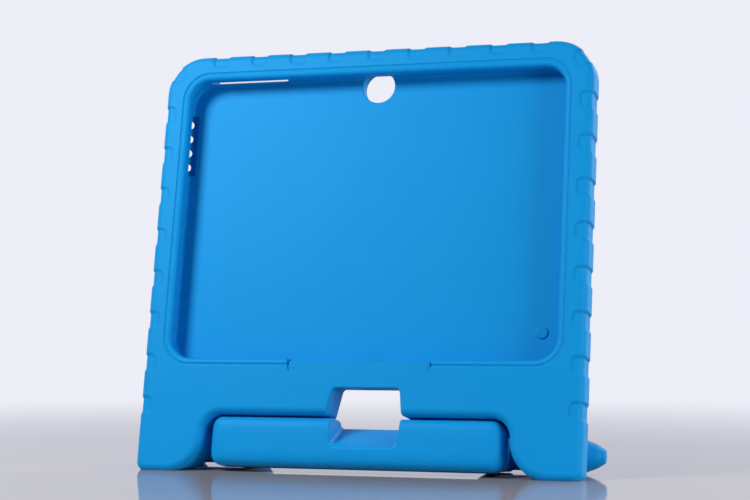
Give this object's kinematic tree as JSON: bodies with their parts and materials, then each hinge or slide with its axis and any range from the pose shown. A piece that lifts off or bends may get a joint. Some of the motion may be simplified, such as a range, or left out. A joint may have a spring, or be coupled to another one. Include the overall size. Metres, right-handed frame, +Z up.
{
  "type": "kids tablet case with handle",
  "caption": "Thick foam case for a tablet, leaning back on two feet, with a swing-out carrying handle nested between the feet and a ribbed grip edge.",
  "frame": {"origin": "middle of the case's footprint, on the surface it stands on", "axes": "+X to the right as seen from the screen side, +Y from the screen side to the back, +Z up; the case leans back 10.8 degrees"},
  "size_m": [0.279, 0.0686, 0.2525],
  "materials": {
    "case_foam": "closed-cell foam, moulded skin, satin matt, bright blue",
    "handle_foam": "closed-cell foam, moulded skin, satin matt, bright blue"
  },
  "bodies": {
    "case": {"case_body": "case_foam"},
    "handle": {"swing_handle": "handle_foam"}
  },
  "joints": [
    {"name": "handle_hinge", "type": "hinge", "parent": "case", "child": "handle", "pos_m": [0, 0.01584, 0.0104], "axis": [1, 0, 0], "range_deg": [0, 270]}
  ]
}
